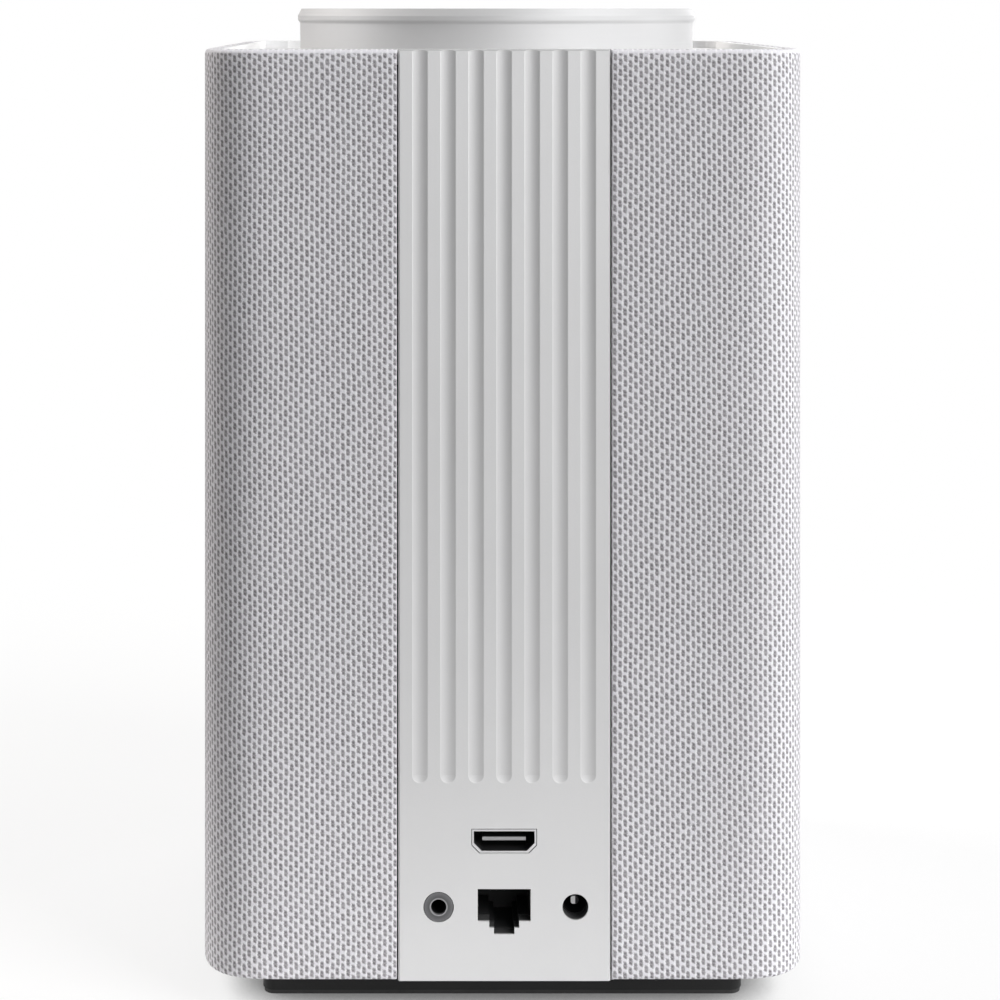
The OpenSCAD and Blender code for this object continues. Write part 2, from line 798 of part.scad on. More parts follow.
module microphones() {
    color("#c9b36a") mic_places()
        block(-mic_l / 2, mic_l / 2, -mic_w / 2, mic_w / 2, top_board_z1, top_board_z1 + mic_h);
}

module mic_gaskets() {
    color("#2a2a2c") mic_places() tube(mic_gasket_r, mic_hole_r, top_board_z1 + mic_h, cap_z0);
}

module button_places() {
    for (x = [-1, 1]) translate([x * button_x, 0, 0]) children();
}

module button_switches() {
    color("#2c2c30") button_places() {
        block(-2.2, 2.2, -2.2, 2.2, top_board_z1, switch_z1 - 0.2);
        disc(1, top_board_z1 + 0.1, switch_z1);
    }
}

module light_ring() {
    color("#f2f2f4") rotate_extrude($fn = 128)
        polygon([[shelf_r0, top_board_z1 + led_h + 0.2], [hub_r - hub_wall + 0.6, top_board_z1 + led_h + 0.2],
                 [hub_r - hub_wall + 0.6, retainer_z1], [light_r1, retainer_z1], [light_r1, light_z1],
                 [light_r0, light_z1], [light_r0, light_shelf_z], [shelf_r0, light_shelf_z]]);
}

module top_cap() {
    color("#2e2e31") difference() {
        union() {
            disc(cap_r, cap_z0, cap_z1);
            around(4, deck_post_x - post_r, 45) disc(1.6, top_board_z1, cap_z0 + cut / 2);
        }
        mic_places() disc(mic_hole_r, cap_z0 - cut, cap_z1 + cut);
        button_places() disc(button_r + seat_gap, cap_z0 - cut, cap_z1 + cut);
    }
}

module button(side, shade) {
    color(shade) translate([side * button_x, 0, 0]) {
        disc(button_r, flange_z1 - 0.1, cap_z1 + button_rise);
        disc(button_r + flange_extra, flange_z0, flange_z1);
    }
}

module mic_button() {
    button(1, "#3c3c40");
}
module action_button() {
    button(-1, "#3c3c40");
}

// ---------------------------------------------------------------- speaker box

module box_outline(y0, y1, inset = 0) {
    intersection() {
        slab(2 * (box_half - inset), max(box_r - inset, 1), floor_z + inset, box_z1 - inset);
        block(-body_w, body_w, y0, y1, 0, top_z);
    }
}

module baffle_screw_places() {
    for (x = [-1, 1], z = [floor_z + box_screw_inset, (floor_z + box_z1) / 2, box_z1 - box_screw_inset])
        translate([x * (box_half - box_screw_inset), 0, z]) children();
}

// Where each driver sits: local +Z points out of the box
module at_woofer() {
    facing_front(0, box_front_y, floor_z + woofer_z) children();
}
module at_radiator(side) {
    facing_side(side, box_half, radiator_y, floor_z + radiator_z) children();
}
module at_tweeter(side) {
    facing_front(side * tweeter_x, box_front_y, floor_z + tweeter_z) children();
}

module flange_screws(flange_r, n, start) {
    around(n, flange_r - flange_screw_r, start) children();
}

module box_baffle() {
    color("#3b3b3f") difference() {
        box_outline(box_front_y, joint_y);
        at_woofer() {
            disc(woofer_cut_r + seat_gap, -baffle_t - cut, cut);
            flange_screws(woofer_flange_r, 4, 45) screw_hole(screw_r, -baffle_t - cut, cut);
        }
        for (side = [-1, 1]) at_tweeter(side) {
            disc(tweeter_cut_r + seat_gap, -baffle_t - cut, cut);
            flange_screws(tweeter_flange_r, 2, 90) screw_hole(small_screw_r, -baffle_t - cut, cut);
        }
        baffle_screw_places() facing_front(0, box_front_y, 0) screw_hole(screw_r, -baffle_t - cut, cut);
    }
}

module box_gasket() {
    color("#1b1b1d") difference() {
        box_outline(joint_y, shell_y);
        block(-box_half + box_wall, box_half - box_wall, joint_y - cut, shell_y + cut,
              floor_z + box_wall, box_z1 - box_wall);
        baffle_screw_places() facing_front(0, box_front_y, 0)
            screw_hole(screw_r, -baffle_t - gasket_t - cut, cut);
    }
}

screw_depth = 8;
module box_shell() {
    color("#46464a") difference() {
        union() {
            difference() {
                box_outline(shell_y, box_back_y);
                block(-box_half + box_wall, box_half - box_wall, shell_y - cut, box_back_y - box_wall,
                      floor_z + box_wall, box_z1 - box_wall);
            }
            intersection() {
                baffle_screw_places() facing_front(0, shell_y, 0) disc(post_r, -screw_depth, 0);
                box_outline(shell_y, box_back_y);
            }
            around(4, deck_post_x, 45) disc(post_r, box_z1 - cut, deck_z);
        }
        for (side = [-1, 1]) at_radiator(side) {
            disc(radiator_cut_r + seat_gap, -box_wall - cut, cut);
            flange_screws(radiator_flange_r, 4, 45) screw_hole(small_screw_r, -box_wall - cut, cut);
        }
        baffle_screw_places() facing_front(0, shell_y, 0) screw_hole(screw_r, -screw_depth + cut, cut);
        around(4, deck_post_x, 45) screw_hole(screw_r, deck_z - screw_depth, deck_z + cut);
        base_screw_places() screw_hole(screw_r, floor_z - cut, floor_z + box_wall - cut);
        lead_holes();
    }
}

module case_screws() {
    base_reach = floor_z - base_head_z + box_wall - 1.5;
    color("#8e8e92") {
        base_screw_places() translate([0, 0, base_head_z]) rotate([180, 0, 0])
            screw(screw_r, screw_head_r, base_reach);
        translate([0, lug_screw_y, body_z + screw_head_r * 0.7]) rotate([180, 0, 0])
            screw(screw_r, screw_head_r, floor_t + 3);
        around(4, deck_post_x, 45) translate([0, 0, top_z])
            screw(screw_r, min(screw_head_r, (top_board_z - top_z) / 0.75), deck_t + screw_depth - 2);
        baffle_screw_places() facing_front(0, box_front_y, 0)
            screw(screw_r, screw_head_r, baffle_t + gasket_t + screw_depth - 2);
    }
}

module speaker_screws() {
    color("#6e6e72") {
        at_woofer() flange_screws(woofer_flange_r, 4, 45) translate([0, 0, driver_flange_t])
            screw(screw_r, screw_head_r, driver_flange_t + baffle_t - 1);
        for (side = [-1, 1]) {
            at_radiator(side) flange_screws(radiator_flange_r, 4, 45) translate([0, 0, driver_flange_t])
                screw(small_screw_r, small_head_r, driver_flange_t + box_wall - 1);
            at_tweeter(side) flange_screws(tweeter_flange_r, 2, 90) translate([0, 0, driver_flange_t])
                screw(small_screw_r, small_head_r, driver_flange_t + baffle_t - 1);
        }
    }
}

// ---------------------------------------------------------------- drivers

module woofer_basket() {
    rim = woofer_roll_r1;
    color("#2d2d30") at_woofer() difference() {
        rotate_extrude() polygon([[rim, driver_flange_t], [woofer_flange_r, driver_flange_t],
            [woofer_flange_r, 0], [woofer_cut_r, 0], [cup_r + 3.5, basket_step - 1.5],
            [cup_r, basket_step - 1.5], [cup_r, basket_depth], [plate_bore_r + 5, basket_depth],
            [plate_bore_r + 5, basket_depth + 1.5], [cup_r - 1.5, basket_depth + 1.5],
            [cup_r - 1.5, basket_step], [cup_r + 2, basket_step], [rim, 0]]);
        around(6, (woofer_cut_r + cup_r) / 2) block(-8, 8, -9, 9, basket_step + 1, -2);
        flange_screws(woofer_flange_r, 4, 45) screw_hole(screw_r, -cut, driver_flange_t + cut);
    }
}

module woofer_top_plate() {
    color("#b0b0b4") at_woofer() tube(yoke_r, plate_bore_r, basket_depth - plate_th, basket_depth);
}

module woofer_magnet() {
    color("#343438") at_woofer()
        tube(magnet_r, plate_bore_r + 2.5, basket_depth - plate_th - magnet_t, basket_depth - plate_th);
}

module woofer_yoke() {
    back = basket_depth - plate_th - magnet_t;
    color("#b0b0b4") at_woofer() difference() {
        union() {
            disc(yoke_r, back - plate_th, back);
            disc(pole_r, back - cut, basket_depth + 0.5);
        }
        disc(4, back - plate_th - cut, basket_depth + cut);
    }
}

neck_z = -10;
module woofer_cone() {
    top = driver_flange_t;
    color("#3a3a3c") at_woofer() rotate_extrude()
        polygon([[coil_r + 0.3, neck_z], [coil_r + 1.2, neck_z], [woofer_cone_r - 2, top - 0.8],
                 [woofer_cone_r, top - 0.8], [woofer_cone_r, top], [woofer_cone_r - 2.4, top]]);
}

module woofer_dust_cap() {
    rise = 3;
    rim_r = coil_r + 0.9;
    cap_sphere = (rim_r * rim_r + rise * rise) / (2 * rise);
    color("#2a2a2c") at_woofer() translate([0, 0, neck_z + 0.9 - cap_sphere + rise]) intersection() {
        difference() {
            sphere(r = cap_sphere);
            sphere(r = cap_sphere - 0.5);
        }
        disc(rim_r, cap_sphere - rise, cap_sphere + cut);
    }
}

module woofer_voice_coil() {
    coil_low = basket_depth - plate_th - woofer_throw / 2 - 1;
    color("#b87333") at_woofer() {
        tube(coil_r, coil_r - 0.3, coil_low, neck_z + 0.6);
        tube(coil_r + 0.4, coil_r - 0.1, coil_low, basket_depth + woofer_throw / 2);
    }
}

// Half-round rubber roll with flat lips, lying on the flange and on the piston's rim
module surround(r0, r1, lip0, lip1) {
    mid = (r0 + r1) / 2;
    roll = (r1 - r0) / 2;
    rotate_extrude() {
        translate([r0 - lip0, 0]) square([lip0 + roll_t, roll_t]);
        translate([r1 - roll_t, 0]) square([lip1 + roll_t, roll_t]);
        intersection() {
            difference() {
                translate([mid, 0]) circle(r = roll);
                translate([mid, 0]) circle(r = roll - roll_t);
            }
            translate([r0 - cut, 0]) square([r1 - r0 + 2 * cut, roll + cut]);
        }
    }
}

module woofer_surround() {
    color("#1a1a1c") at_woofer() translate([0, 0, driver_flange_t])
        surround(woofer_roll_r0, woofer_roll_r1, 2, 1.6);
}

module woofer_spider() {
    r0 = coil_r + 0.3;
    folds = 4;
    fold = (cup_r - 1.5 - r0 - 2) / folds;
    color("#a8793c") at_woofer() rotate_extrude() {
        for (i = [0 : folds - 1]) translate([r0 + 2 + i * fold, basket_step + (i % 2) * 0.8])
            square([fold, 0.5]);
        for (i = [1 : folds]) translate([r0 + 2 + i * fold - 0.5, basket_step]) square([0.5, 1.3]);
        translate([r0, basket_step]) square([2, 0.5]);
        translate([cup_r - 2, basket_step]) square([3.5, 0.5]);
    }
}

module radiator_frame(side) {
    color("#2d2d30") at_radiator(side) difference() {
        union() {
            tube(radiator_flange_r, radiator_roll_r1, 0, driver_flange_t);
            tube(radiator_cut_r, radiator_roll_r1, -box_wall, cut / 2);
        }
        flange_screws(radiator_flange_r, 4, 45) screw_hole(small_screw_r, -cut, driver_flange_t + cut);
    }
}

module radiator_piston(side) {
    color("#3a3a3c") at_radiator(side) rotate_extrude()
        polygon([[0, -5], [9, -5], [9, -1.6], [radiator_piston_r - 6, -0.6],
                 [radiator_piston_r - 1, driver_flange_t - 2],
                 [radiator_piston_r, driver_flange_t - 2], [radiator_piston_r, driver_flange_t],
                 [radiator_piston_r - 2.4, driver_flange_t], [radiator_piston_r - 7, 0.9], [0, -0.1]]);
}

module radiator_surround(side) {
    color("#1a1a1c") at_radiator(side) translate([0, 0, driver_flange_t])
        surround(radiator_roll_r0, radiator_roll_r1, 2, 1.6);
}

module left_radiator_frame() {
    radiator_frame(1);
}
module left_radiator_piston() {
    radiator_piston(1);
}
module left_radiator_surround() {
    radiator_surround(1);
}
module right_radiator_frame() {
    radiator_frame(-1);
}
module right_radiator_piston() {
    radiator_piston(-1);
}
module right_radiator_surround() {
    radiator_surround(-1);
}

tweeter_depth = 16;
dome_seat = 1.2;
module tweeter_body(side) {
    color("#2d2d30") at_tweeter(side) difference() {
        union() {
            disc(tweeter_flange_r, 0, driver_flange_t);
            disc(tweeter_cut_r, -tweeter_depth, cut / 2);
        }
        disc(dome_r + 1, dome_seat, driver_flange_t + cut);
        tube(dome_r + 0.4, dome_r - 1.4, -4, dome_seat + cut);
        flange_screws(tweeter_flange_r, 2, 90) screw_hole(small_screw_r, -cut, driver_flange_t + cut);
    }
}

module tweeter_dome(side) {
    rise = 3.2;
    sphere_r = (dome_r * dome_r + rise * rise) / (2 * rise);
    seat = dome_seat + dome_throw + 0.3;
    color("#8c8c90") at_tweeter(side) {
        translate([0, 0, seat + rise - sphere_r]) intersection() {
            difference() {
                sphere(r = sphere_r);
                sphere(r = sphere_r - 0.4);
            }
            disc(dome_r, sphere_r - rise, sphere_r + cut);
        }
        tube(dome_r - 0.2, dome_r - 0.8, -3, seat + 0.3);
    }
}

module left_tweeter_body() {
    tweeter_body(1);
}
module left_tweeter_dome() {
    tweeter_dome(1);
}
module right_tweeter_body() {
    tweeter_body(-1);
}
module right_tweeter_dome() {
    tweeter_dome(-1);
}

// ---------------------------------------------------------------- boards and cables

module board(w, z, h, y) {
    difference() {
        block(-w / 2, w / 2, y - board_t, y, z, z + h);
        board_boss_places(z, h) facing_front(0, y, 0) screw_hole(small_screw_r, -cut, board_t + cut);
    }
}

module main_board() {
    color("#1d5c3c") board(board_w, main_z, main_h, board_y);
}
module amplifier_board() {
    color("#1d5c3c") board(board_w, amp_z, amp_h, board_y);
}
module port_board() {
    color("#1d5c3c") board(port_board_w, port_board_z, port_board_h, port_board_y);
}

module board_screws() {
    color("#9a9a9e") {
        for (b = [[main_z, main_h, board_y], [amp_z, amp_h, board_y],
                  [port_board_z, port_board_h, port_board_y]])
            board_boss_places(b[0], b[1]) facing_front(0, b[2] - board_t, 0)
                screw(small_screw_r, small_head_r, board_t + 5);
    }
}

shield_w = 26;               // shield over the processor
shield_t = 1.8;
chip_w = 7;
chip_h = 12;
chip_t = 1.2;
chip_x = 20.5;               // middle of a memory chip beside the shield
chip_drop = 14;              // middle of a memory chip below the middle of the board
can_r = 3.5;                 // capacitors of the amplifier
can_rise = 14;
choke_w = 8;                 // chokes of the amplifier
choke_h = 10;
choke_t = 5;
channel_n = 4;
channel_pitch = 15;
module board_parts() {
    main_mid = main_z + main_h / 2;
    color("#4a4a50") {
        block(-shield_w / 2, shield_w / 2, board_y, board_y + shield_t,
              main_mid - shield_w / 2, main_mid + shield_w / 2);
        for (x = [-chip_x, chip_x])
            block(x - chip_w / 2, x + chip_w / 2, board_y, board_y + chip_t,
                  main_mid - chip_drop - chip_h / 2, main_mid - chip_drop + chip_h / 2);
        for (i = [0 : channel_n - 1])
            translate([(i - (channel_n - 1) / 2) * channel_pitch, 0, amp_z + amp_h / 2]) {
                facing_rear(0, board_y, can_rise) disc(can_r, 0, board_stand - 1);
                block(-choke_w / 2, choke_w / 2, board_y, board_y + choke_t,
                      -choke_h / 2 - 1, choke_h / 2 - 1);
            }
    }
}

module heat_spreader() {
    main_mid = main_z + main_h / 2;
    w = shield_w / 2 - 1;
    color("#c0c0c4") block(-w, w, board_y + shield_t, panel_in_y, main_mid - w, main_mid + w);
}

module ribbon_cables() {
    y = ribbon_y;
    low = main_z + main_h - 12;
    under = deck_z - 3;
    port_top = port_board_z + port_board_h;
    color("#d8d8da") {
        block(-ribbon_w / 2, ribbon_w / 2, y, y + ribbon_t, low, under);
        block(-ribbon_w / 2, ribbon_w / 2, ribbon_hole_y, y + ribbon_t, under - ribbon_t, under);
        block(-ribbon_w / 2, ribbon_w / 2, ribbon_hole_y, ribbon_hole_y + ribbon_t,
              under - ribbon_t, top_board_z);
        block(-ribbon_w / 2, ribbon_w / 2, y, board_y - board_t, low - 4, low + 1);
        block(-22, -10, y, y + ribbon_t, port_top - 12, main_z + 12);
        block(-22, -10, y, port_board_y - board_t, port_top - 14, port_top - 10);
        block(-22, -10, y, board_y - board_t, main_z + 9, main_z + 13);
    }
}

// Wire pairs run straight from the amplifier board through the box's back wall to each driver
tweeter_lead_z = floor_z + tweeter_z;
woofer_lead_z = amp_z + 6;
woofer_lead_x = ribbon_w / 2 + lead_gap;
module wire_pair(x, z) {
    for (s = [-1, 1]) translate([x + s * lead_gap / 2, 0, z]) children();
}

module lead_holes() {
    wire_pair(woofer_lead_x, woofer_lead_z) facing_front(0, box_back_y + cut, 0)
        cylinder(r = lead_r + screw_gap, h = box_wall + 2 * cut);
    for (side = [-1, 1]) wire_pair(side * tweeter_x, tweeter_lead_z) facing_front(0, box_back_y + cut, 0)
        cylinder(r = lead_r + screw_gap, h = box_wall + 2 * cut);
}

module speaker_leads() {
    rear = board_y - board_t;
    turn_y = box_front_y + 9;
    basket_top = floor_z + woofer_z + sqrt(pow(woofer_cut_r - 3.5, 2) - pow(woofer_lead_x, 2));
    color("#b03030") {
        wire_pair(woofer_lead_x, woofer_lead_z) {
            facing_front(0, rear, 0) cylinder(r = lead_r, h = rear - turn_y);
            translate([0, turn_y, basket_top - woofer_lead_z])
                cylinder(r = lead_r, h = woofer_lead_z - basket_top + lead_r);
        }
        for (side = [-1, 1]) wire_pair(side * tweeter_x, tweeter_lead_z) facing_front(0, rear, 0)
            cylinder(r = lead_r, h = rear - box_front_y - tweeter_depth);
    }
}

foot_pad();
base();
case_screws();
bottom_plate();
sleeve_frame();
fabric_sleeve();
rear_panel();
top_deck();
volume_ring();
ring_gear();
ring_glide();
ring_retainer();
retainer_screws();
encoder_body();
encoder_shaft();
encoder_pinion();
top_board();
ring_lights();
microphones();
mic_gaskets();
button_switches();
light_ring();
top_cap();
mic_button();
action_button();
box_baffle();
box_shell();
box_gasket();
speaker_screws();
woofer_basket();
woofer_top_plate();
woofer_magnet();
woofer_yoke();
woofer_cone();
woofer_dust_cap();
woofer_voice_coil();
woofer_surround();
woofer_spider();
left_radiator_frame();
left_radiator_piston();
left_radiator_surround();
right_radiator_frame();
right_radiator_piston();
right_radiator_surround();
left_tweeter_body();
left_tweeter_dome();
right_tweeter_body();
right_tweeter_dome();
main_board();
amplifier_board();
port_board();
board_parts();
heat_spreader();
board_screws();
hdmi_socket();
ethernet_socket();
audio_jack();
power_jack();
ribbon_cables();
speaker_leads();
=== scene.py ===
"""Smart speaker: the looks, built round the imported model. Metres, Z up, front -Y, sockets +Y.

The CAD nodes keep their shapes and get materials; the cloth sleeve is a piece of its own that stands
for fabric_sleeve. Materials take places in metres from the object's own origin, which for every
piece is the frame's.
"""
import math

import bpy
import numpy as np
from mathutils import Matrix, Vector


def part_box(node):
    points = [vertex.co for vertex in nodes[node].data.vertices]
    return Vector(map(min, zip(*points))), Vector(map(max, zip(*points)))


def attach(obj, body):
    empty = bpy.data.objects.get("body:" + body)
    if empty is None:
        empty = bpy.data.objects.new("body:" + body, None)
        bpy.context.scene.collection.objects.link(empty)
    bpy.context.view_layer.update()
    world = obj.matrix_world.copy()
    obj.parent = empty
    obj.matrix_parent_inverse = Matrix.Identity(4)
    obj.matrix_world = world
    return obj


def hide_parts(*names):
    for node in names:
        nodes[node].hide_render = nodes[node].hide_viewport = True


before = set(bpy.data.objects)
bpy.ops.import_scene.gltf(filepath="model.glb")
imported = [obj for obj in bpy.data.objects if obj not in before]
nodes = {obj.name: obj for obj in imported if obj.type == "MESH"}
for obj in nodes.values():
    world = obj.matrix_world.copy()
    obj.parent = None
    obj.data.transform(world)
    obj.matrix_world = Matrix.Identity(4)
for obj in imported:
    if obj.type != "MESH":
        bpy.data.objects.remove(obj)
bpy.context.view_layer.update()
scene = bpy.context.scene

# ---------------------------------------------------------------- camera

CAMERA_AT = (0.01573, 0.5905, 0.23287)
LENS = 81.3
SHIFT = (0.0641, -0.4913)


def make_camera():
    """Level with the top of the ring, close behind the speaker and a little to one side."""
    data = bpy.data.cameras.new("camera")
    data.sensor_width = 36
    data.lens = LENS
    data.shift_x, data.shift_y = SHIFT
    data.clip_start = 0.01
    data.clip_end = 50
    camera = bpy.data.objects.new("camera", data)
    scene.collection.objects.link(camera)
    camera.location = CAMERA_AT
    camera.rotation_euler = (math.pi / 2, 0, math.pi)
    scene.camera = camera


# ---------------------------------------------------------------- materials

class Shade:
    """A node material with one Principled shader, put together a node at a time."""

    def __init__(self, name, rough=0.5, metal=0.0, **fixed):
        self.mat = bpy.data.materials.new(name)
        self.mat.use_nodes = True
        self.tree = self.mat.node_tree
        self.tree.nodes.clear()
        self.out = self.tree.nodes.new("ShaderNodeOutputMaterial")
        self.shader = self.tree.nodes.new("ShaderNodeBsdfPrincipled")
        self.tree.links.new(self.shader.outputs[0], self.out.inputs["Surface"])
        self.set("Roughness", rough)
        self.set("Metallic", metal)
        for socket, value in fixed.items():
            self.set(socket.replace("_", " "), value)

    def put(self, socket, value):
        """Link the value where it is another node's output, and otherwise set it."""
        if isinstance(value, bpy.types.NodeSocket):
            self.tree.links.new(value, socket)
        else:
            socket.default_value = value

    def set(self, name, value):
        """Give an input of the Principled shader this value."""
        self.put(self.shader.inputs[name], value)

    def node(self, kind, inputs=(), **settings):
        """A new node of this kind, with its settings made and its inputs given."""
        n = self.tree.nodes.new("ShaderNode" + kind)
        for key, value in settings.items():
            setattr(n, key, value)
        for key, value in dict(inputs).items():
            self.put(n.inputs[key], value)
        return n

    def math(self, kind, a, b=0.0):
        return self.node("Math", {0: a, 1: b}, operation=kind).outputs[0]

    def product(self, a, b):
        return self.math("MULTIPLY", a, b)

    def oval(self, a, reach_a, power_a, b, reach_b, power_b):
        """(a / reach_a) ^ power_a + (b / reach_b) ^ power_b: 1 on the edge of a rounded oval."""
        return self.math("ADD", self.math("POWER", self.math("DIVIDE", a, reach_a), power_a),
                         self.math("POWER", self.math("DIVIDE", b, reach_b), power_b))

    def inside(self, value, centre, reach):
        """1 within this reach of the centre, else 0."""
        return self.math("LESS_THAN", self.math("ABSOLUTE", self.math("SUBTRACT", value, centre)), reach)

    def ramp(self, value, low, high, to_low=0.0, to_high=1.0):
        """Smooth step from to_low to to_high as the value goes from low to high."""
        n = self.node("MapRange", {0: value, 1: low, 2: high, 3: to_low, 4: to_high},
                      interpolation_type="SMOOTHSTEP")
        return n.outputs[0]

    def split(self, vector):
        """The x, y and z outputs of a vector."""
        return self.node("SeparateXYZ", {0: vector}).outputs

    def join(self, x, y, z=0.0):
        return self.node("CombineXYZ", {0: x, 1: y, 2: z}).outputs[0]

    def place(self):
        return self.node("TexCoord").outputs["Object"]

    def noise(self, vector, scale, detail=2.0, rough=0.5):
        n = self.node("TexNoise", {"Vector": vector, "Scale": scale, "Detail": detail,
                                   "Roughness": rough})
        return n.outputs[0]

    def scaled(self, vector, factors):
        n = self.node("VectorMath", {0: vector, 1: factors}, operation="MULTIPLY")
        return n.outputs[0]

    def blend(self, factor, a, b):
        n = self.node("Mix", data_type="RGBA")
        self.put(n.inputs[0], factor)
        self.put(n.inputs[6], (*a, 1) if isinstance(a, tuple) else a)
        self.put(n.inputs[7], (*b, 1) if isinstance(b, tuple) else b)
        return n.outputs[2]

    def colour(self):
        """The output that the base colour comes from so far."""
        return self.shader.inputs["Base Color"].links[0].from_socket

    def bump(self, height, distance, strength=1.0, normal=None):
        """Relief of this height in metres, over the given normal or the surface's own."""
        n = self.node("Bump", {"Height": height, "Distance": distance, "Strength": strength})
        if normal is not None:
            self.put(n.inputs["Normal"], normal)
        self.set("Normal", n.outputs[0])


def tone(colour, factor):
    """The colour made lighter or darker, no brighter than white."""
    return tuple(min(1.0, c * factor) for c in colour)


def finish_of(name, colour, rough, metal=0.0, grain=900.0, stretch=(1, 1, 1), vary=0.08,
              rough_vary=0.08, relief=0.00003, **fixed):
    """Cast, moulded or painted: broad uneven tone, a fine grain, and roughness that follows it."""
    m = Shade(name, rough, metal, **fixed)
    place = m.place()
    broad = m.noise(place, 45.0, 3.0)
    fine = m.noise(m.scaled(place, stretch), grain, 3.0, 0.6)
    mixed = m.math("ADD", m.product(broad, 0.6), m.product(fine, 0.4))
    spread = m.ramp(mixed, 0.3, 0.7)
    m.set("Base Color", m.blend(spread, tone(colour, 1 - vary), tone(colour, 1 + vary)))
    m.set("Roughness", m.ramp(mixed, 0.3, 0.7, rough - rough_vary, rough + rough_vary))
    m.bump(fine, relief)
    return m


RING_LIP = 0.0025     # height of the ring's lip, nearly; the small step and the wall lie below it
TURNING = 9000.0      # lines of the lathe tool to a metre, across them


def ring_finish(name):
    """Metal turned on a lathe: fine lines run round the upright axis."""
    colour, rough = (0.54, 0.54, 0.545), 0.6
    m = Shade(name, rough, 0.2)
    x, y, z = m.split(m.place())
    radius = m.math("SQRT", m.math("ADD", m.product(x, x), m.product(y, y)))
    angle = m.math("ARCTAN2", y, x)
    lines = m.noise(m.join(m.product(radius, TURNING), m.product(angle, 2.0), m.product(z, TURNING)),
                    1.0, 3.0, 0.6)
    broad = m.noise(m.place(), 30.0, 2.0)
    m.set("Base Color", m.blend(m.ramp(broad, 0.3, 0.7), tone(colour, 0.985), tone(colour, 1.015)))
    m.set("Roughness", m.ramp(lines, 0.3, 0.7, rough - 0.05, rough + 0.05))
    normal = m.node("NewGeometry").outputs["Normal"]
    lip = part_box("volume_ring")[1].z - RING_LIP
    flatter = m.ramp(z, lip - 0.0001, lip, 0.35, 1.0)            # step and wall are shaded nearly alike
    normal = m.node("VectorMath", {0: m.scaled(normal, m.join(1.0, 1.0, flatter))}, operation="NORMALIZE")
    m.bump(lines, 0.000004, normal=normal.outputs[0])
    return m


def middle(name):
    """The middle of a CAD node's box and its upper corner."""
    low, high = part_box(name)
    return (low + high) / 2, high


def hdmi_finish(name):
    """Plated shell painted dark inside as shade: its rim keeps the metal's colour, and the front of its
    tongue is painted paler as a highlight.
    """
    m = Shade(name, 0.4, 0.7)
    centre, high = middle("hdmi_socket")
    x, y, z = m.split(m.place())
    rim = m.ramp(y, high.y - 0.0004, high.y - 0.0001)
    half_width, half_height, rise = 0.0052, 0.0006, 0.0002       # the tongue, whose front gets a painted highlight, and how far above the middle
    tongue_highlight = m.product(m.inside(x, 0.0, half_width), m.inside(z, centre.z + rise, half_height))
    tongue_highlight = m.product(tongue_highlight, m.ramp(y, high.y - 0.0013, high.y - 0.0012, 0.0, 0.5))
    # all but the rim is painted dark as shade, and the tongue's front gets a painted highlight
    m.set("Base Color", m.blend(m.math("MAXIMUM", rim, tongue_highlight), (0.05, 0.05, 0.052), (0.6, 0.6, 0.61)))
    m.bump(m.noise(m.place(), 2500.0), 0.000008)
    return m


def panel_finish(name):
    """Metal with a paint finish, a little darker in its grooves from painted shade; the holes for the
    sockets are painted dark inside as shade.
    """
    m = finish_of(name, (0.655, 0.655, 0.66), 0.55, 0.25, grain=2600.0, vary=0.008, rough_vary=0.015,
                  relief=0.000012)
    x, y, z = m.split(m.place())
    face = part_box("rear_panel")[1].y
    field_half, field_top = 0.02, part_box("hdmi_socket")[1].z + 0.003     # the field with the sockets
    # the socket holes are painted dark inside as shade
    bore_shade = m.product(m.inside(x, 0.0, field_half), m.math("LESS_THAN", z, field_top))
    bore_shade = m.product(bore_shade, m.ramp(y, face - 0.0009, face - 0.0002, 0.93, 0.0))       # painted shade inside the holes, growing with their depth
    coat = m.colour()
    groove_shade_by_height = m.ramp(z, 0.07, 0.2, 0.9, 0.78)                  # painted shade in the grooves, deeper towards the top
    groove_shade = m.ramp(y, face - 0.00006, face - 0.00001, groove_shade_by_height, 1.0)
    coat = m.scaled(coat, m.join(groove_shade, groove_shade, groove_shade))
    m.set("Base Color", m.blend(bore_shade, coat, (0.02, 0.02, 0.02)))
    return m


def jack_finish(name):
    """Dull ring with painted shade darkening its groove towards the hole, a painted highlight on the lip
    round the hole, and painted shade inside the hole.
    """
    m = Shade(name, 0.45, 0.5)
    centre, high = middle("audio_jack")
    x, y, z = m.split(m.place())
    away = m.math("ADD", m.math("POWER", m.math("SUBTRACT", x, centre.x), 2.0),
                  m.math("POWER", m.math("SUBTRACT", z, centre.z), 2.0))
    away = m.math("SQRT", away)                                  # from the middle of the hole
    lip = m.product(m.ramp(away, 0.00155, 0.00175), m.ramp(away, 0.0019, 0.0022, 1.0, 0.0))
    # the groove, with painted shade deepening towards the hole
    grey = m.blend(m.ramp(away, 0.0020, 0.0033), (0.07, 0.07, 0.073), (0.13, 0.13, 0.135))
    # a painted highlight on the lip round the hole
    grey = m.blend(lip, grey, (0.3, 0.3, 0.31))
    # the hole is painted dark inside as shade
    bore_shade = m.ramp(y, high.y - 0.0012, high.y - 0.0004, 1.0, 0.0)
    m.set("Base Color", m.blend(bore_shade, grey, (0.015, 0.015, 0.016)))
    m.bump(m.noise(m.place(), 900.0), 0.00003)
    return m


def deck_finish(name):
    """Light grey moulding with a white rim beside the cloth."""
    m = finish_of(name, (0.7, 0.7, 0.705), 0.6, vary=0.03)
    x, y, _ = m.split(m.place())
    out = m.math("MAXIMUM", m.math("ABSOLUTE", x), m.math("ABSOLUTE", y))
    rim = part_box("fabric_sleeve")[1].x - HEM_W - RIM_W
    m.set("Base Color", m.blend(m.math("GREATER_THAN", out, rim), m.colour(), (0.88, 0.88, 0.88)))
    return m


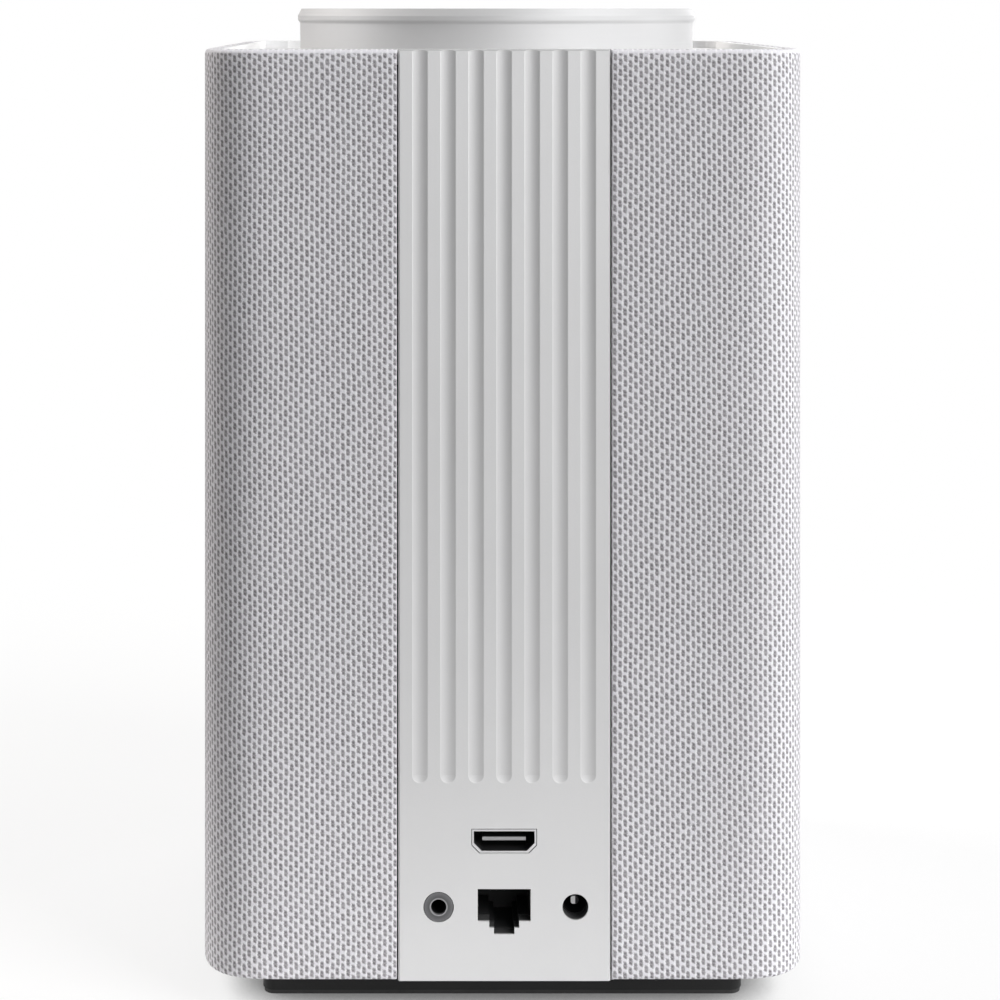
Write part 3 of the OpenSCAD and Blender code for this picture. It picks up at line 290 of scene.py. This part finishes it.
def socket_finish(name):
    """Black moulding; the pin in the power jack is bare metal, but only a small upright streak of it
    beside its middle is painted bright as a glint.
    """
    m = Shade(name, 0.6, Specular_IOR_Level=0.3)
    centre, high = middle("power_jack")
    x, y, z = m.split(m.place())
    half_width, half_height, aside = 0.0005, 0.0009, 0.0003      # the painted glint on the pin, and how far beside the middle
    pin_glint = m.product(m.inside(x, centre.x + aside, half_width), m.inside(z, centre.z, half_height))
    pin_glint = m.product(pin_glint, m.ramp(y, high.y - 0.003, high.y - 0.001))
    m.set("Base Color", m.blend(pin_glint, (0.016, 0.016, 0.017), (0.6, 0.6, 0.6)))
    m.set("Metallic", pin_glint)
    m.bump(m.noise(m.place(), 900.0), 0.00002)
    return m


COLUMN = 0.0012       # from one column of the weave's slots to the next
ROW = 0.00235         # from one slot of a column to the next
STEP = 0.57           # how far a column lies above its neighbour, as a share of ROW
SLANT = 0.14          # how much a slot leans, as a share of ROW over a whole column
SLOT = (0.35, 0.36)   # half width and half height of a slot, as shares of COLUMN and ROW
PIT = (0.2, 0.11)     # the same of each of its two pits
PIT_OFF = 0.17        # from the slot's middle to a pit's, as a share of ROW
CREST_HIGHLIGHT = (0.24, 0.36)  # half width and half height of the painted highlight on the crest of yarn between two columns


def weave(name, yarn, shadow, pit):
    """Open cloth of pale yarn: staggered columns of dark upright slots, each with two deeper pits."""
    m = Shade(name, 0.85, Sheen_Weight=0.15, Sheen_Roughness=0.5, Specular_IOR_Level=0.25)
    u, v, _ = m.split(m.node("UVMap", uv_map="cloth").outputs[0])
    place = m.join(u, v)

    # which column and row a point is in, and a chance value for each slot
    wander = m.product(m.math("SUBTRACT", m.noise(place, 60.0, 2.0), 0.5), 0.5)
    across = m.math("ADD", m.math("DIVIDE", u, COLUMN), wander)
    column = m.math("FLOOR", across)
    along = m.math("SUBTRACT", m.math("DIVIDE", v, ROW), m.product(column, STEP))
    along = m.math("ADD", along, wander)
    row = m.math("FLOOR", along)
    chance = m.node("TexWhiteNoise", {"Vector": m.join(column, row)}, noise_dimensions="3D")
    c1, c2, c3 = m.split(chance.outputs["Color"])

    # place inside the slot's cell, from -0.5 to 0.5, shifted, frayed and leaning
    x = m.math("SUBTRACT", m.math("FRACT", across), 0.5)
    y = m.math("SUBTRACT", m.math("FRACT", along), 0.5)
    x = m.math("ADD", x, m.product(m.math("SUBTRACT", c1, 0.5), 0.1))
    y = m.math("ADD", y, m.product(m.math("SUBTRACT", c2, 0.5), 0.1))
    fray = m.math("SUBTRACT", m.noise(place, 2600.0, 2.0, 0.6), 0.5)
    x = m.math("ADD", x, m.product(fray, 0.5))
    y = m.math("SUBTRACT", m.math("ADD", y, m.product(fray, 0.3)), m.product(x, SLANT))
    ax, ay = m.math("ABSOLUTE", x), m.math("ABSOLUTE", y)

    # the slots, but for the turn over the upper edge, which is drawn tight and has none
    z = m.split(m.place())[2]
    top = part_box("fabric_sleeve")[1].z
    tight = m.product(m.ramp(z, top - HEM_R, top - HEM_R + 0.0005),
                      m.ramp(z, top - 0.0001, top - 0.00003, 1.0, 0.0))
    slot = m.oval(ax, SLOT[0], 3.4, ay, SLOT[1], 4.4)
    open_ = m.product(m.ramp(slot, 1.9, 0.2), m.math("SUBTRACT", 1.0, tight))
    deep = m.oval(ax, PIT[0], 2.0, m.math("SUBTRACT", ay, PIT_OFF), PIT[1], 2.0)
    deep = m.product(m.ramp(deep, 1.4, 0.3), m.ramp(c3, 0.0, 1.0, 0.5, 1.0))
    deep = m.product(deep, open_)

    # yarn, with a painted highlight on the crest where it passes over between two columns
    fibre = m.noise(m.scaled(place, (1.0, 0.35, 1.0)), 5200.0, 2.0, 0.7)
    broad = m.noise(place, 25.0, 3.0)
    lit = m.math("ADD", m.product(fibre, 0.7), m.product(broad, 0.3))
    colour = m.blend(m.ramp(lit, 0.3, 0.7), tone(yarn, 0.92), tone(yarn, 1.1))
    other = m.math("LESS_THAN", x, 0.0)          # the crest on this side belongs to the next column
    aside = m.math("ADD", m.math("SUBTRACT", x, 0.5), other)
    level = m.math("ADD", m.product(other, STEP), m.math("ADD", y, 0.5))
    level = m.math("SUBTRACT", m.math("FRACT", level), 0.5)
    crest_highlight = m.oval(aside, CREST_HIGHLIGHT[0], 2.0, level, CREST_HIGHLIGHT[1], 2.0)
    colour = m.blend(m.ramp(crest_highlight, 1.0, 0.0, 0.0, 0.8), colour, tone(yarn, 1.2))

    # the slots are painted dark with the shade seen through them, and the two pits in each darker still
    colour = m.blend(m.product(open_, m.ramp(c3, 0.0, 1.0, 0.92, 1.0)), colour, shadow)
    m.set("Base Color", m.blend(m.product(deep, 0.8), colour, pit))
    m.bump(m.math("SUBTRACT", m.product(fibre, 0.25), open_), 0.00012, 0.6)
    return m


def paint(name, shade):
    """The named CAD node wears this material all over."""
    data = nodes[name].data
    data.materials.clear()
    data.materials.append(shade.mat)


# slot: colour, roughness, metallic, what else its finish has
FINISHES = {
    "foot_rubber": ((0.03, 0.03, 0.03), 0.8, 0.0, {}),
    "base_plastic": ((0.011, 0.011, 0.0115), 0.6, 0.0, {"vary": 0.12, "Specular_IOR_Level": 0.25}),
    "frame_plastic": ((0.09, 0.09, 0.095), 0.6, 0.0, {}),
    "white_plastic": ((0.75, 0.75, 0.73), 0.45, 0.0, {}),
    "grey_plastic": ((0.2, 0.2, 0.21), 0.5, 0.0, {}),
    "screw_steel": ((0.45, 0.45, 0.46), 0.35, 1.0, {}),
    "bright_steel": ((0.6, 0.6, 0.61), 0.3, 1.0, {}),
    "shaft_metal": ((0.55, 0.55, 0.56), 0.3, 1.0, {"stretch": (1, 1, 0.02)}),
    "board_green": ((0.02, 0.12, 0.06), 0.4, 0.0, {"vary": 0.2}),
    "chip_black": ((0.03, 0.03, 0.033), 0.5, 0.0, {}),
    "lamp_white": ((0.85, 0.85, 0.8), 0.35, 0.0, {}),
    "mic_metal": ((0.6, 0.45, 0.18), 0.35, 1.0, {}),
    "seal_rubber": ((0.02, 0.02, 0.022), 0.8, 0.0, {}),
    "diffuser": ((0.88, 0.88, 0.88), 0.35, 0.0, {"vary": 0.02, "Subsurface_Weight": 0.2,
                                                 "Subsurface_Radius": (0.001, 0.001, 0.001)}),
    "cap_plastic": ((0.03, 0.03, 0.033), 0.6, 0.0, {"grain": 2200.0, "vary": 0.02, "rough_vary": 0.02,
                                                    "Specular_IOR_Level": 0.1}),
    "button_plastic": ((0.045, 0.045, 0.05), 0.6, 0.0, {"grain": 2200.0, "vary": 0.02, "rough_vary": 0.02,
                                                        "Specular_IOR_Level": 0.15}),
    "box_plastic": ((0.05, 0.05, 0.053), 0.6, 0.0, {}),
    "basket_steel": ((0.03, 0.03, 0.032), 0.5, 0.0, {}),
    "magnet_ferrite": ((0.05, 0.05, 0.05), 0.55, 0.2, {}),
    "cone_paper": ((0.05, 0.05, 0.05), 0.8, 0.0, {"relief": 0.00008}),
    "coil_copper": ((0.6, 0.3, 0.14), 0.35, 1.0, {"stretch": (0.05, 1, 0.05)}),
    "surround_rubber": ((0.015, 0.015, 0.015), 0.6, 0.0, {}),
    "spider_cloth": ((0.45, 0.27, 0.1), 0.85, 0.0, {"relief": 0.0001}),
    "dome_cloth": ((0.3, 0.3, 0.31), 0.75, 0.0, {"relief": 0.00006}),
    "heat_metal": ((0.66, 0.66, 0.68), 0.35, 1.0, {"stretch": (1, 1, 0.05)}),
    "ribbon_grey": ((0.6, 0.6, 0.62), 0.5, 0.0, {}),
    "lead_red": ((0.35, 0.03, 0.03), 0.5, 0.0, {}),
}
OWN_FINISHES = {"ring_metal": ring_finish, "hdmi_metal": hdmi_finish, "deck_plastic": deck_finish,
                "panel_metal": panel_finish, "jack_metal": jack_finish, "socket_black": socket_finish}


def dress_nodes():
    """Every CAD node gets the material of its slot."""
    shades = {slot: finish_of(slot, colour, rough, metal, **more)
              for slot, (colour, rough, metal, more) in FINISHES.items()}
    shades.update({slot: finish(slot) for slot, finish in OWN_FINISHES.items()})
    shades["cloth"] = weave("cloth", (0.82, 0.81, 0.855), (0.4, 0.385, 0.405), (0.15, 0.148, 0.158))
    for name, node in nodes.items():
        paint(name, shades[node.data.materials[0].name])
    return shades


# ---------------------------------------------------------------- cloth sleeve

CLOTH = 0.0009        # thickness
CLOTH_GAP = 0.0003    # between the cloth and the side of the rear panel
HEM_R = 0.0012        # radius at which the cloth turns over an edge
HEM_W = 0.004         # hem on the top and under the body
EDGE_R = 0.0004       # radius at which it turns in beside the rear panel
EDGE_IN = 0.0016      # how far it goes in there
RIM_W = 0.0018        # white rim of the top deck, beside the hem
CORNER = 0.0195       # where the round of a corner starts, measured from the square corner


def corner_curve(steps=40, parts=10):
    """A quarter turn whose curvature grows and shrinks evenly: points and angles, size 1 each way.
    Each step is summed up from finer parts."""
    t = np.linspace(0, 1, steps * parts + 1)
    angle = np.where(t < 0.5, math.pi * t ** 2, math.pi / 2 - math.pi * (1 - t) ** 2)
    mid = (angle[1:] + angle[:-1]) / 2
    x = np.concatenate([[0], np.cumsum(np.cos(mid))])
    y = np.concatenate([[0], np.cumsum(np.sin(mid))])
    return x[::parts] / x[-1], y[::parts] / x[-1], angle[::parts]


def sleeve_plan(half, opening):
    """The sleeve in plan, from one rear edge round to the other: points, and at each the direction
    outward that its hems turn away from."""
    points, outward = [], []

    def add(x, y, a):
        points.append((x, y))
        outward.append((math.cos(a), math.sin(a)))

    for y in np.linspace(half - EDGE_IN, half - EDGE_R, 3):      # beside the panel
        add(opening, y, math.pi / 2)
    for a in np.linspace(math.pi, math.pi / 2, 6)[1:]:
        add(opening + EDGE_R + EDGE_R * math.cos(a), half - EDGE_R + EDGE_R * math.sin(a), math.pi / 2)
    for x in np.linspace(opening + EDGE_R, half - CORNER, 14)[1:-1]:
        add(x, half, math.pi / 2)
    cx, cy, ca = corner_curve()
    for x, y, a in zip(cx, cy, ca):                              # rear corner on the +X side
        add(half - CORNER + CORNER * x, half - CORNER * y, math.pi / 2 - a)
    for y in np.linspace(half - CORNER, -half + CORNER, 26)[1:-1]:
        add(half, y, 0.0)
    for x, y, a in zip(cx, cy, ca):                              # front corner on the +X side
        add(half - CORNER * y, -half + CORNER - CORNER * x, -a)
    for x in np.linspace(half - CORNER, 0, 14)[1:]:
        add(x, -half, -math.pi / 2)
    mirrored = [(-x, y) for x, y in reversed(points[:-1])]
    turned_out = [(-x, y) for x, y in reversed(outward[:-1])]
    return np.array(points + mirrored), np.array(outward + turned_out)


def hem_profile(low, high):
    """(how far in, height) from the hem under the body, up the side, to the hem on top."""
    line = [(d, low) for d in np.linspace(HEM_W, HEM_R, 4)]
    line += [(HEM_R - HEM_R * math.sin(a), low + HEM_R - HEM_R * math.cos(a))
             for a in np.linspace(0, math.pi / 2, 7)[1:]]
    line += [(0.0, z) for z in np.linspace(low + HEM_R, high - HEM_R, 50)[1:-1]]
    line += [(HEM_R - HEM_R * math.cos(a), high - HEM_R + HEM_R * math.sin(a))
             for a in np.linspace(0, math.pi / 2, 7)]
    line += [(d, high) for d in np.linspace(HEM_R, HEM_W, 4)[1:]]
    return np.array(line)


def lengths(points):
    """How far along the line each of its points is."""
    return np.concatenate([[0], np.cumsum(np.linalg.norm(np.diff(points, axis=0), axis=1))])


def grid_faces(n, m):
    """Faces of a grid of n by m points, numbered row by row."""
    return [(i * m + j, (i + 1) * m + j, (i + 1) * m + j + 1, i * m + j + 1)
            for i in range(n - 1) for j in range(m - 1)]


def new_piece(name, verts, faces, shade, smooth=True):
    mesh = bpy.data.meshes.new(name)
    mesh.from_pydata([tuple(v) for v in verts], [], faces)
    mesh.materials.append(shade.mat)
    for polygon in mesh.polygons:
        polygon.use_smooth = smooth
    mesh.update()
    piece = bpy.data.objects.new(name, mesh)
    scene.collection.objects.link(piece)
    return piece


def make_sleeve(shade):
    """The cloth in one sheet: its plan swept up its profile, then given its thickness."""
    low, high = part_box("fabric_sleeve")
    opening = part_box("rear_panel")[1].x + CLOTH_GAP
    plan, outward = sleeve_plan(high.x, opening)
    profile = hem_profile(low.z, high.z)
    verts, uvs = [], []
    along, up = lengths(plan), lengths(profile)
    for p, o, s in zip(plan, outward, along):
        for (inset, z), t in zip(profile, up):
            verts.append((p[0] - o[0] * inset, p[1] - o[1] * inset, z))
            uvs.append((s, t))
    faces = [tuple(reversed(f)) for f in grid_faces(len(plan), len(profile))]
    sleeve = new_piece("cloth_sleeve", verts, faces, shade)
    layer = sleeve.data.uv_layers.new(name="cloth")
    for loop in sleeve.data.loops:
        layer.data[loop.index].uv = uvs[loop.vertex_index]
    solid = sleeve.modifiers.new("thickness", "SOLIDIFY")
    solid.thickness = CLOTH
    solid.offset = -1
    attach(sleeve, "cabinet")
    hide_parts("fabric_sleeve")


# ---------------------------------------------------------------- studio

AIM = Vector((0, 0, 0.12))       # the middle of the speaker, where the lamps point


def area_lamp(name, azimuth, height, distance, size, level, colour=(1, 1, 1)):
    """A soft box that lights a surface facing it to this level, where 1 shows a colour as written.
    Azimuth is in degrees from the camera's side (+Y), positive to the picture's right (-X), and height
    is above AIM."""
    data = bpy.data.lights.new(name, "AREA")
    data.shape = "RECTANGLE"
    data.size, data.size_y = size
    data.energy = level * math.pi ** 2 * distance ** 2
    data.color = colour
    lamp = bpy.data.objects.new(name, data)
    scene.collection.objects.link(lamp)
    a = math.radians(azimuth)
    flat = math.sqrt(max(distance ** 2 - height ** 2, 0.0))
    lamp.location = AIM + Vector((-math.sin(a) * flat, math.cos(a) * flat, height))
    lamp.rotation_euler = (AIM - lamp.location).to_track_quat("-Z", "Y").to_euler()
    return lamp


def make_world():
    """White to the camera, near white in reflections, and a low even light on the object."""
    world = bpy.data.worlds.new("studio")
    scene.world = world
    world.use_nodes = True
    tree = world.node_tree
    tree.nodes.clear()
    out = tree.nodes.new("ShaderNodeOutputWorld")
    back = tree.nodes.new("ShaderNodeBackground")
    back.inputs["Color"].default_value = (1, 1, 1, 1)
    path = tree.nodes.new("ShaderNodeLightPath")
    shine = tree.nodes.new("ShaderNodeMapRange")
    shine.inputs["To Min"].default_value = 0.08      # as light on the object
    shine.inputs["To Max"].default_value = 0.7       # as seen in its reflections
    glossy = tree.nodes.new("ShaderNodeMath")
    glossy.operation = "MAXIMUM"
    tree.links.new(path.outputs["Is Glossy Ray"], glossy.inputs[0])
    tree.links.new(path.outputs["Is Transmission Ray"], glossy.inputs[1])
    tree.links.new(glossy.outputs[0], shine.inputs[0])
    seen = tree.nodes.new("ShaderNodeMath")
    seen.operation = "MAXIMUM"
    tree.links.new(path.outputs["Is Camera Ray"], seen.inputs[0])
    tree.links.new(shine.outputs[0], seen.inputs[1])
    tree.links.new(seen.outputs[0], back.inputs["Strength"])
    tree.links.new(back.outputs[0], out.inputs["Surface"])


def make_floor():
    """White to the camera apart from a soft shadow where the object stands. Other rays find it pale
    near the object and dark further out, and reflections also find a glow on it."""
    m = Shade("floor", 0.9)
    x, y, _ = m.split(m.place())
    away = m.math("SQRT", m.math("ADD", m.product(x, x), m.product(y, y)))     # from the middle
    path = m.node("LightPath")
    seen = path.outputs["Is Camera Ray"]
    pale = m.ramp(away, 0.08, 0.25, 0.9, 0.12)
    shiny = m.product(path.outputs["Is Glossy Ray"], m.ramp(away, 0.1, 0.3, 0.62, 0.3))
    m.set("Base Color", m.blend(seen, pale, (0.88, 0.88, 0.88)))
    m.set("Emission Color", (1, 1, 1, 1))
    m.set("Emission Strength", shiny)
    near = m.node("AmbientOcclusion", {"Distance": 0.03}, samples=16).outputs["AO"]
    soft = m.ramp(near, 0.0, 0.38, 0.04, 1.0)            # the dark line under the plinth
    white = m.node("Emission", {"Color": (1, 1, 1, 1)})
    m.put(white.inputs["Strength"], m.math("MAXIMUM", soft, m.ramp(away, 0.12, 0.3)))
    mix = m.node("MixShader")
    m.put(mix.inputs[0], m.product(seen, m.ramp(away, 0.1, 0.45, 0.8, 1.0)))
    m.put(mix.inputs[1], m.shader.outputs[0])
    m.put(mix.inputs[2], white.outputs[0])
    m.put(m.out.inputs["Surface"], mix.outputs[0])
    radius, around = 12.0, 96
    turns = [2 * math.pi * i / around for i in range(around)]
    edge = [(radius * math.cos(t), radius * math.sin(t), 0) for t in turns]
    floor = new_piece("floor", edge, [tuple(range(around))], m, smooth=False)


def make_studio():
    """World, floor and lamps. Sheen and gleam show only in reflections, on the metal above all."""
    make_world()
    make_floor()
    area_lamp("key", 52, 1.3, 2.6, (1.4, 1.8), 1.13)
    area_lamp("sheen", 24, 0.3, 1.1, (0.5, 0.5), 0.45).visible_diffuse = False
    area_lamp("gleam", -85, 0.3, 1.1, (0.4, 0.6), 0.5).visible_diffuse = False
    area_lamp("right", 96, 0.2, 1.4, (0.5, 0.9), 0.22)
    area_lamp("left", -109, 0.6, 1.2, (0.5, 0.9), 0.68, colour=(1.03, 0.99, 0.955))
    area_lamp("front", 165, 0.4, 1.6, (1.0, 0.8), 0.5)


# ---------------------------------------------------------------- all of it

make_camera()
make_studio()
shades = dress_nodes()
make_sleeve(shades["cloth"])

scene.view_settings.view_transform = "Standard"
